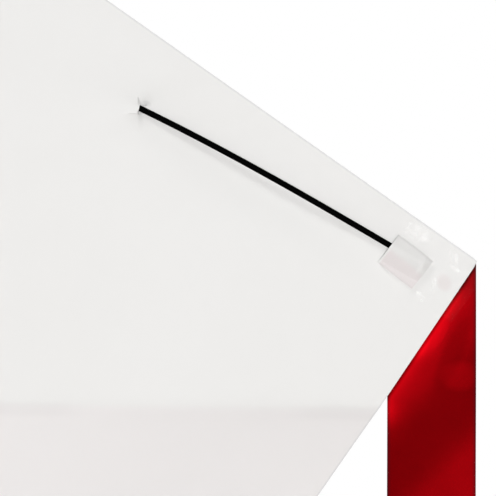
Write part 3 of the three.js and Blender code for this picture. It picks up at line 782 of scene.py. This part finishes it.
def film_waves(x, z):
    """Depth of the waves, to be added to the depth of the film."""
    side = np.abs(x)
    inner = smooth((side - waves_from_spine) / waves_side_fade)
    outer = smooth((waves_to_side - side) / waves_side_fade)
    upper = smooth((waves_top - z) / waves_top_fade)
    lower = smooth((z - waves_bottom) / waves_bottom_fade)
    wave = film_wave * np.sin(x / 27.0 + z / 61.0) * np.sin(z / 39.0 - x / 83.0 + 1.3)
    from_slit = ((side - slit_place) / calm_width) ** 2 + ((z - slit_height) / calm_height) ** 2
    return wave * inner * outer * upper * lower * (1 - np.exp(-from_slit))


print("waves up to", film_wave, "mm deep")

# %% [markdown]
# A grid of 3 mm cells over the kite's box is cut to the outline with four bisect cuts. More cuts mark the
# sides and the height of each slit, and the faces between them are deleted. Cutting keeps the cells square,
# which gives the evenest shading on a nearly flat sheet.

# %% Sail cut flat
cell = 3.0
box_height = nose_rise + tip_drop
bpy.ops.object.select_all(action="DESELECT")
bpy.ops.mesh.primitive_grid_add(
    x_subdivisions=round(2 * half_span / cell), y_subdivisions=round(box_height / cell), size=1
)
sail = bpy.context.object
sail.name = "sail_film"
sail.scale = (2 * half_span, box_height, 1)
sail.location = (0, (nose_rise - tip_drop) / 2, 0)
bpy.ops.object.transform_apply(location=True, rotation=True, scale=True)


def cut(place, direction, clear=False):
    """Bisects the flat sheet along a line, and takes away what lies beyond it if asked."""
    bpy.ops.mesh.select_all(action="SELECT")
    facing = Vector((*direction, 0)).normalized()
    bpy.ops.mesh.bisect(plane_co=(*place, 0), plane_no=facing, clear_outer=clear, threshold=1e-5)


bpy.ops.object.mode_set(mode="EDIT")
for turn in (1, -1):
    cut((turn * half_span, 0), (turn * nose_rise, half_span), clear=True)
    cut((turn * half_span, 0), (turn * tip_drop, -half_span), clear=True)
for turn in (1, -1):
    for reach in (-slit_half_width, slit_half_width):
        cut((turn * (slit_place + reach), 0), (1, 0))
for share in (-1, -0.5, 0, 0.5, 1):
    cut((0, slit_height + share * slit_half_length), (0, 1))
bpy.ops.mesh.select_all(action="DESELECT")
bpy.ops.object.mode_set(mode="OBJECT")
for face in sail.data.polygons:
    x, z = face.center.x, face.center.y
    in_width = abs(abs(x) - slit_place) < slit_half_width
    face.select = in_width and abs(z - slit_height) < slit_half_length
bpy.ops.object.mode_set(mode="EDIT")
bpy.ops.mesh.select_mode(type="FACE")
bpy.ops.mesh.delete(type="FACE")
bpy.ops.mesh.select_all(action="SELECT")
bpy.ops.mesh.select_mode(type="VERT")
bpy.ops.object.mode_set(mode="OBJECT")
print("flat sail with", len(sail.data.polygons), "cells")

# %% [markdown]
# The slit is a closed cut on the real sail: its front lip hides the rod's way through, and its rear lip
# reaches a little under it. The cut leans, so the lips are moved to a leaning line. The side corners end in
# blunt tips. Four small holes, in two pairs, let the bridle line through to the spine.

# %% Sail put in its place
sail_thickness = 0.2
lip_lean = 0.25
lip_overlap = 0.35
lip_shift = -0.2
tip_cut = 0.35
blunt_tip = half_span - tip_cut
bridle_heights = (cross_height + 14, -215.0)
bridle_spread = 4
bridle_hole = 1


def sail_shape(x, z):
    """Closes the slits and gives every corner of the sheet its depth."""
    side = np.abs(x)
    from_slit = side - slit_place
    height = z - slit_height
    on_side = np.abs(np.abs(from_slit) - slit_half_width) < 0.01
    at_lip = on_side & (np.abs(height) < slit_half_length + 0.01)
    openness = np.clip(1 - np.abs(height) / slit_half_length, 0, 1)
    under = np.where(from_slit > 0, lip_overlap * openness, 0)
    closed = slit_place + lip_shift + lip_lean * height - under
    x_there = np.where(at_lip, np.sign(x) * closed, np.clip(x, -blunt_tip, blunt_tip))
    return x_there, film_depth(x, z) + film_waves(x, z), z


shape_grid(sail, sail_shape)
thicken(sail, sail_thickness)
for height in bridle_heights:
    for spread in (-bridle_spread, bridle_spread):
        drill(sail, bridle_hole, (spread, 0, height), through)
dress(sail, film, "sail_film", "kite", "sail")

# %% [markdown]
# A rod is a circle pulled out step by step into a straight bar, whose ends are rounded a little. Both rods
# start as such a bar. Its UV map is made while it is straight, so that the grain follows the finished rod.

# %% Straight rods
rod_rounding = 0.15


def straight_rod(name, length, radius, steps, sides):
    """A bar along X from the origin, with small bevels at its ends and a UV map in shares and metres."""
    bpy.ops.object.select_all(action="DESELECT")
    bpy.ops.mesh.primitive_circle_add(
        vertices=sides, radius=radius * MM, fill_type="NGON", location=(0, 0, 0), rotation=sideways
    )
    piece = bpy.context.object
    piece.name = name
    bpy.ops.object.transform_apply(location=True, rotation=True, scale=True)
    bpy.ops.object.mode_set(mode="EDIT")
    for step in range(steps):
        bpy.ops.mesh.extrude_region_move(TRANSFORM_OT_translate={"value": (length * MM / steps, 0, 0)})
    bpy.ops.mesh.select_all(action="SELECT")
    bpy.ops.mesh.normals_make_consistent(inside=False)
    bpy.ops.object.mode_set(mode="OBJECT")
    round_edges(piece, rod_rounding, 60)
    map_rod(piece)
    return piece


def map_rod(piece):
    """UV: the share of a turn round the rod, and metres along it."""
    layer = piece.data.uv_layers.new(name="UVMap")
    for loop in piece.data.loops:
        spot = piece.data.vertices[loop.vertex_index].co
        layer.data[loop.index].uv = (math.atan2(spot.z, spot.y) / (2 * math.pi), spot.x)


print("helpers for rods are ready")

# %% [markdown]
# The bow's bar is bent by a Curve modifier along the line that was worked out above. It could be drawn as a
# thick curve, but a bar bent as a mesh keeps its rounded ends and its UV map.

# %% Bow
left_to_right = [(-x, z) for x, z in bow_half] + [(x, z) for x, z in bow_half[-2::-1]]
bow_length = sum(math.dist(a, b) for a, b in zip(left_to_right, left_to_right[1:]))
bow = straight_rod("bow_rod", bow_length, bow_radius, steps=2 * bow_steps, sides=24)
bpy.ops.object.select_all(action="DESELECT")
bpy.ops.curve.primitive_nurbs_path_add(location=(0, 0, 0))
bow_path = bpy.context.object
bow_path.data.splines.clear()
spline = bow_path.data.splines.new("POLY")
spline.points.add(len(left_to_right) - 1)
for point, (x, z) in zip(spline.points, left_to_right):
    point.co = (*in_frame(x, 0, z), 1)
apply_modifier(bow, "bend", "CURVE", object=bow_path, deform_axis="POS_X")
bpy.data.objects.remove(bow_path)
turn_outwards(bow)
dress(bow, rod_black, "black_rod", "kite", "bow_spar")
print("bow", round(bow_length, 1), "mm long")

# %% [markdown]
# The spine is a little thicker than the bow and stays straight. The same bar is made again and turned
# upright, and its length is read from the CAD solid.

# %% Spine
spine_low, spine_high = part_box("spine_spar")
spine_length = (spine_high.z - spine_low.z) / MM
spine = straight_rod("spine_rod", spine_length, spine_radius, steps=40, sides=32)
spine.rotation_euler = (0, math.radians(-90), 0)
spine.location = (0, (spine_depth - joiner_back) * MM, spine_low.z)
select_only(spine)
bpy.ops.object.transform_apply(location=True, rotation=True, scale=True)
dress(spine, rod_black, "black_rod", "kite", "spine_spar")
print("spine", round(spine_length, 1), "mm long")

# %% [markdown]
# The joiner is two crossed bars moulded in one, with a bore for the bow and an open clip for the spine. Two
# cubes are scaled, bevelled and joined, and the bores are cut with cylinders.

# %% Cross joiner
joiner_reach = 16
joiner_bar = 6.4
joiner_rounding = 0.8
joiner_edge = 0.12
barrel_wall = 1.0
clip_wall = 0.9


def rounded_block(size, front):
    """A bar of the joiner, from its front to the joiner's flat back, with rounded edges."""
    bpy.ops.object.select_all(action="DESELECT")
    middle = in_frame(0, (joiner_back + front) / 2, cross_height)
    bpy.ops.mesh.primitive_cube_add(size=1, location=middle)
    block = bpy.context.object
    block.scale = Vector((size[0], joiner_back - front, size[1])) * MM
    bpy.ops.object.transform_apply(location=True, rotation=True, scale=True)
    apply_modifier(block, "rounding", "BEVEL", width=joiner_rounding * MM, segments=4)
    return block


barrel_front = -(bow_radius + layer_gap + barrel_wall)
clip_front = spine_depth - clip_wall
joiner = rounded_block((joiner_reach, joiner_bar), barrel_front)
joiner.name = "moulded_joiner"
combine(joiner, rounded_block((joiner_bar, joiner_reach), clip_front), "UNION")
drill(joiner, bow_radius + layer_gap, (0, 0, cross_height), sideways)
drill(joiner, spine_radius + layer_gap, (0, spine_depth, cross_height), upright)
round_edges(joiner, joiner_edge, 50)
dress(joiner, moulded, "joiner_plastic", "kite", "cross_joiner")

# %% [markdown]
# A pocket is a patch of film welded down on three sides and humped over the rod's end. Its shape is worked
# out in its own directions, which are turned a little from those of the corner's edge. Just inside its rim
# the patch swells off the sail by a fifth of a millimetre.

# %% Side pockets
pocket_wall = 0.3
pocket_swell = 0.2
pocket_rim = 0.5
pocket_cells = (40, 48)
hump_roundness = 0.3
rod_end_room = 0.4
rod_top_room = 0.1
crown = bow_radius + rod_top_room + pocket_wall
bow_direction = (math.cos(bow_slope), -math.sin(bow_slope))
pocket_along = np.array([math.cos(pocket_angle), -math.sin(pocket_angle)])
pocket_across = np.array([math.sin(pocket_angle), math.cos(pocket_angle)])


def hump(x, z, rod_end, direction, slack=0.0):
    """1 over the rod and 0 at the rim and past the rod's end, wider and longer by a slack."""
    along = (x - rod_end[0]) * direction[0] + (z - rod_end[1]) * direction[1]
    across = np.abs((x - rod_end[0]) * direction[1] - (z - rod_end[1]) * direction[0])
    tent = np.hypot(1, hump_roundness) - np.hypot(across / (pocket_width / 2 + slack), hump_roundness)
    over_rod = np.maximum(0, tent) / (np.hypot(1, hump_roundness) - hump_roundness)
    past_end = (along - rod_end_room - slack) / (pocket_length / 4 + slack * 2)
    return over_rod * (1 - smooth(past_end))


def side_pocket_shape(turn):
    """The right pocket, or the left one for a turn of -1."""

    def shape(across, along):
        run = (along - 0.5) * pocket_length
        off = (across - 0.5) * pocket_width
        x = pocket_centre.x + pocket_along[0] * run + pocket_across[0] * off
        z = pocket_centre.y + pocket_along[1] * run + pocket_across[1] * off
        raised = hump(x, z, bow_end, bow_direction)
        swell = pocket_swell * smooth((pocket_width / 2 - np.abs(off)) / pocket_rim)
        rim = weave_depth - film_half - layer_gap - pocket_wall - swell
        return turn * x, rim * (1 - raised) - crown * raised, z

    return shape


for name, turn in (("right", 1), ("left", -1)):
    pocket = add_grid(f"{name}_pocket_film", *pocket_cells)
    shape_grid(pocket, side_pocket_shape(turn))
    thicken(pocket, pocket_wall, offset=-turn)
    dress(pocket, pocket_film, "pocket_film", "kite", f"{name}_pocket")

# %% [markdown]
# The spine's two pockets are the same patch, on the film's back. Each lies a little in from its corner, and
# the end of the spine stands a little further in.

# %% Spine pockets
spine_crown = spine_depth + spine_radius + layer_gap + pocket_wall
spine_pocket_lift = 0.5
rod_set_back = 2.5
spine_corners = (("nose", nose_rise, 1, 5.5), ("bottom", -tip_drop, -1, 9.5))


def spine_pocket_shape(corner, up, inset):
    """A pocket at the nose, or at the bottom with up as -1."""

    def shape(across, along):
        x = (across - 0.5) * pocket_width
        z = corner - up * inset - up * along * pocket_length
        raised = hump(x, z, (0, corner - up * (inset + rod_set_back)), (0, up))
        rim = film_depth(x, z) + film_half + layer_gap + spine_pocket_lift
        return x, rim * (1 - raised) + spine_crown * raised, z

    return shape


for name, corner, up, inset in spine_corners:
    pocket = add_grid(f"{name}_pocket_film", *pocket_cells)
    shape_grid(pocket, spine_pocket_shape(corner, up, inset))
    thicken(pocket, pocket_wall, offset=up)
    dress(pocket, pocket_film, "pocket_film", "kite", f"{name}_pocket")

# %% [markdown]
# Clear tape is folded over the leading edge, over the pocket in front and the ribbon's end behind. Its grid
# runs from the front leaf round the fold to the back leaf. Past the trailing edge both leaves run on over
# the ribbon.

# %% Side corner tapes
side_tape_length = 26.2
side_tape_depth = 22.0
side_tape_overlap = 4.5
side_tape_slack = 1.5
side_tape_lift = 0.5
fold_share = 0.05
fold_reach = 0.4
tape_leaf = 0.12
ribbon_space = 0.5
ribbon_front = weave_depth + film_half + layer_gap
ribbon_back = ribbon_front + ribbon_space
edge_along = np.array([math.cos(edge_angle), -math.sin(edge_angle)])
edge_across = np.array([math.sin(edge_angle), math.cos(edge_angle)])


def over_pocket(x, z, centre, direction, margin, falloff):
    """1 over a pocket and a margin round it, 0 well away from it."""
    along = np.abs((x - centre[0]) * direction[0] + (z - centre[1]) * direction[1])
    across = np.abs((x - centre[0]) * direction[1] - (z - centre[1]) * direction[0])
    beyond = np.hypot(np.maximum(0, along - pocket_length / 2), np.maximum(0, across - pocket_width / 2))
    return 1 - smooth((beyond - margin) / falloff)


def side_tape_shape(turn):
    """The right corner's tape, or the left one for a turn of -1."""

    def shape(across, along):
        back = along * (side_tape_length + side_tape_overlap) - side_tape_overlap
        from_fold = np.maximum(0, np.abs(across - 0.5) - fold_share) / (0.5 - fold_share)
        round_fold = np.clip((across - 0.5) / fold_share, -1, 1) * math.pi / 2
        inward = from_fold * side_tape_depth - fold_reach * np.cos(round_fold)
        x = half_span - edge_along[0] * back - edge_across[0] * inward
        z = -edge_along[1] * back - edge_across[1] * inward
        raised = over_pocket(x, z, pocket_centre, pocket_along, margin=0.5, falloff=1.4)
        over_rod = hump(x, z, bow_end, bow_direction, side_tape_slack)
        lift = (side_tape_lift + layer_gap + pocket_swell) * raised
        level = weave_depth - film_half - layer_gap - lift
        front = level * (1 - over_rod) - (crown + layer_gap) * over_rod - tape_leaf
        behind = ribbon_back + layer_gap + tape_leaf
        depth = (front + behind) / 2 + (behind - front) / 2 * np.sin(round_fold)
        return turn * x, depth, z

    return shape


for name, turn in (("right", 1), ("left", -1)):
    leaf = add_grid(f"{name}_corner_clear_tape", 140, 80)
    shape_grid(leaf, side_tape_shape(turn))
    thicken(leaf, tape_leaf)
    leaf.visible_shadow = False
    dress(leaf, corner_tape, "clear_tape", "kite", f"{name}_corner_tape")

# %% [markdown]
# At the nose and the bottom the tape is a triangle folded over both edges, so its grid closes round the
# corner. The triangle's corners are where the sail's edges, moved out a little, meet each other and a level
# line.

# %% Corners of the nose and bottom tapes
end_tape_reach = 24.0
end_tape_outwards = 0.3


def meet(point, direction, other_point, other_direction):
    """Where two lines in the plane cross."""
    gap = other_point - point
    share = (gap[0] * other_direction[1] - gap[1] * other_direction[0]) / (
        direction[0] * other_direction[1] - direction[1] * other_direction[0]
    )
    return point + direction * share


def tape_corners(corner, edge_a, edge_b):
    """The corner of the tape and its two ends, as places in the plane."""
    inward = (edge_a + edge_b) / np.linalg.norm(edge_a + edge_b)
    inner_point = corner + inward * end_tape_reach
    inner_direction = np.array([-inward[1], inward[0]])

    def moved_out(edge, other):
        normal = np.array([-edge[1], edge[0]])
        return corner + (-normal if normal @ other > 0 else normal) * end_tape_outwards

    point_a = moved_out(edge_a, edge_b)
    point_b = moved_out(edge_b, edge_a)
    return (
        meet(point_a, edge_a, point_b, edge_b),
        meet(point_a, edge_a, inner_point, inner_direction),
        meet(point_b, edge_b, inner_point, inner_direction),
    )


print("nose and bottom tapes reach", end_tape_reach, "mm into the sail")

# %% [markdown]
# The grid's first direction runs round the folded triangle, over the front and back again, and its second
# runs from the tip to the inner edge. The back leaf is raised over the spine's pocket.

# %% Nose and bottom tapes
tip_share = 0.04
fold_spread = 1.08
fold_sharpness = 3


def spine_tape_shape(corner, up, inset):
    """The nose's tape, or the bottom's with up as -1."""
    rise = nose_rise if up > 0 else tip_drop
    edge = np.array([half_span, -up * rise]) / math.hypot(half_span, rise)
    other = np.array([-edge[0], edge[1]])
    tip, end_a, end_b = tape_corners(np.array([0.0, corner]), edge, other)
    centre = (0, corner - up * (inset + pocket_length / 2))

    def shape(around, along):
        share = tip_share + (1 - tip_share) * along
        turn = around * 2 * math.pi
        side = np.clip(fold_spread * np.cos(turn), -1, 1)
        spot = tip + (end_a - tip) * share[:, None] * ((1 + side) / 2)[:, None]
        spot = spot + (end_b - tip) * share[:, None] * ((1 - side) / 2)[:, None]
        x, z = spot[:, 0], spot[:, 1]
        over = over_pocket(x, z, centre, (0, up), margin=4.0, falloff=3.0)
        front = film_depth(x, z) - film_half - layer_gap
        back = (film_depth(x, z) + film_half + layer_gap) * (1 - over) + (spine_crown + layer_gap) * over
        flat = np.clip(np.abs(np.sin(turn)) * fold_sharpness, 0, 1)
        rim = (front + back) / 2
        face = np.where(np.sin(turn) > 0, front - tape_leaf, back + tape_leaf)
        return x, rim + (face - rim) * flat, z

    return shape


for name, corner, up, inset in spine_corners:
    leaf = add_grid(f"{name}_clear_tape", 160, 40)
    shape_grid(leaf, spine_tape_shape(corner, up, inset))
    turn_outwards(leaf)
    thicken(leaf, tape_leaf)
    leaf.visible_shadow = False
    dress(leaf, strip_tape, "clear_tape", "kite", f"{name}_tape")

# %% [markdown]
# Strips of the same tape hold the spine and the bottom ribbon's end to the film's back, each one humped
# over what it holds.

# %% Strips of tape on the back
strip_width = 16
strip_reach = 20
strip_fall = 2.5
strip_margin = 10
strip_below_top = 4
tape_space = 0.3
bottom_tail_top = 57.0 - tip_drop
bottom_front = spine_crown + layer_gap + tape_space + layer_gap
over_spine = spine_depth + spine_radius + layer_gap + tape_leaf
over_ribbon_end = bottom_front + ribbon_space + layer_gap + tape_leaf


def strip_shape(height, reach, hump_half, hump_depth):
    """A level strip that is humped in its middle."""

    def shape(across, along):
        x = (across - 0.5) * 2 * reach
        z = height + (along - 0.5) * strip_width
        rest = film_depth(x, z) + film_half + layer_gap + tape_leaf
        up = 1 - smooth((np.abs(x) - hump_half) / strip_fall)
        return x, rest * (1 - up) + hump_depth * up, z

    return shape


ribbon_reach = ribbon_width / 2 + strip_margin
ribbon_half = ribbon_width / 2 + layer_gap
strips = {
    "spine_tape_upper": (140, strip_reach, spine_radius, over_spine),
    "spine_tape_middle": (-120, strip_reach, spine_radius, over_spine),
    "spine_tape_lower": (-290, strip_reach, spine_radius, over_spine),
    "bottom_tail_tape": (bottom_tail_top - strip_below_top, ribbon_reach, ribbon_half, over_ribbon_end),
}
for name, sizes in strips.items():
    strip = add_grid(f"{name}_strip", 96, 24)
    shape_grid(strip, strip_shape(*sizes))
    thicken(strip, tape_leaf)
    strip.visible_shadow = False
    dress(strip, strip_tape, "clear_tape", "kite", name)

# %% [markdown]
# The bridle's patches are stamped discs on the sail's front, with two holes each over the holes in the
# film. The holes are drilled through a flat cylinder, and its edges are rounded.

# %% Bridle patches
disc_radius = 8
disc_thickness = 0.3
disc_edge = 0.08
disc_back = -ridge_depth - film_half - layer_gap
for name, height in zip(("upper", "lower"), bridle_heights):
    middle = (0, disc_back - disc_thickness / 2, height)
    patch = cylinder(disc_radius, disc_thickness, middle, through, sides=72)
    patch.name = f"bridle_disc_{name}"
    for spread in (-bridle_spread, bridle_spread):
        drill(patch, bridle_hole, (spread, disc_back, height), through)
    round_edges(patch, disc_edge, 50)
    dress(patch, pocket_film, "pocket_film", "kite", f"bridle_patch_{name}")

# %% [markdown]
# A tail is one length of ribbon. Its upper end is held flat under the tape and the rest hangs in slow waves
# whose crests lie aslant, with its edges curled a little.

# %% Shape of a tail
taped_share = 0.12
tail_cells = (24, 260)
wave_depth = 3.5
wave_length = 210.0
edge_curl = 0.5


def tail_shape(centre, top, hinge, length, middle, turn):
    """A ribbon from its taped top, past its hinge, to its free end. All but the turn are millimetres."""

    def shape(across, along):
        x = centre + (across - 0.5) * ribbon_width
        held = top + (hinge - top) * np.minimum(1, along / taped_share)
        hanging = np.maximum(0, along - taped_share) / (1 - taped_share)
        z = np.where(along < taped_share, held, hinge - hanging * length)
        fallen = np.maximum(0, hinge - z)
        grown = smooth(fallen / (wave_length / 2))
        wave = np.sin((fallen + (x - centre)) * 2 * math.pi / wave_length)
        curl = -edge_curl * (2 * across - 1) ** 4 * grown
        return turn * x, middle + wave_depth * grown * wave + curl, z

    return shape


def map_ribbon(piece, length):
    """Turns the grid's UV map into the share across and metres along."""
    for spot in piece.data.uv_layers.active.data:
        spot.uv = (spot.uv[0], spot.uv[1] * length * MM)


def middle_length(shape):
    """Length of a ribbon along its middle, waves and all, in millimetres."""
    along = np.linspace(0, 1, tail_cells[1] + 1)
    x, y, z = shape(np.full_like(along, 0.5), along)
    return float(np.sum(np.hypot(np.diff(y), np.diff(z))))


print("a wave every", wave_length, "mm of ribbon")

# %% [markdown]
# A tail bends just below its tape. Its length along its waves is measured, and its UV map counts that
# length in metres.

# %% Tails
ribbon_thickness = 0.25
side_tail_top = -0.7
side_tail_length = 320.6
bottom_tail_length = 420.6
side_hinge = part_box("right_tail_end")[0].z / MM + cross_height
bottom_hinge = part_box("bottom_tail_end")[0].z / MM + cross_height
side_middle = ribbon_front + ribbon_space / 2
bottom_middle = bottom_front + ribbon_space / 2
tails = {
    "right_tail": (ribbon_centre, side_tail_top, side_hinge, side_tail_length, side_middle, 1),
    "left_tail": (ribbon_centre, side_tail_top, side_hinge, side_tail_length, side_middle, -1),
    "bottom_tail": (0.0, bottom_tail_top, bottom_hinge, bottom_tail_length, bottom_middle, 1),
}
for name, sizes in tails.items():
    ribbon = add_grid(f"{name}_ribbon", *tail_cells)
    shape = tail_shape(*sizes)
    whole = middle_length(shape)
    map_ribbon(ribbon, whole)
    shape_grid(ribbon, shape)
    thicken(ribbon, ribbon_thickness)
    dress(ribbon, satin, "red_ribbon", None, f"{name}_end", name)
    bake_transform(ribbon)
    print(name, "is cut from", round(whole, 1), "mm of ribbon")
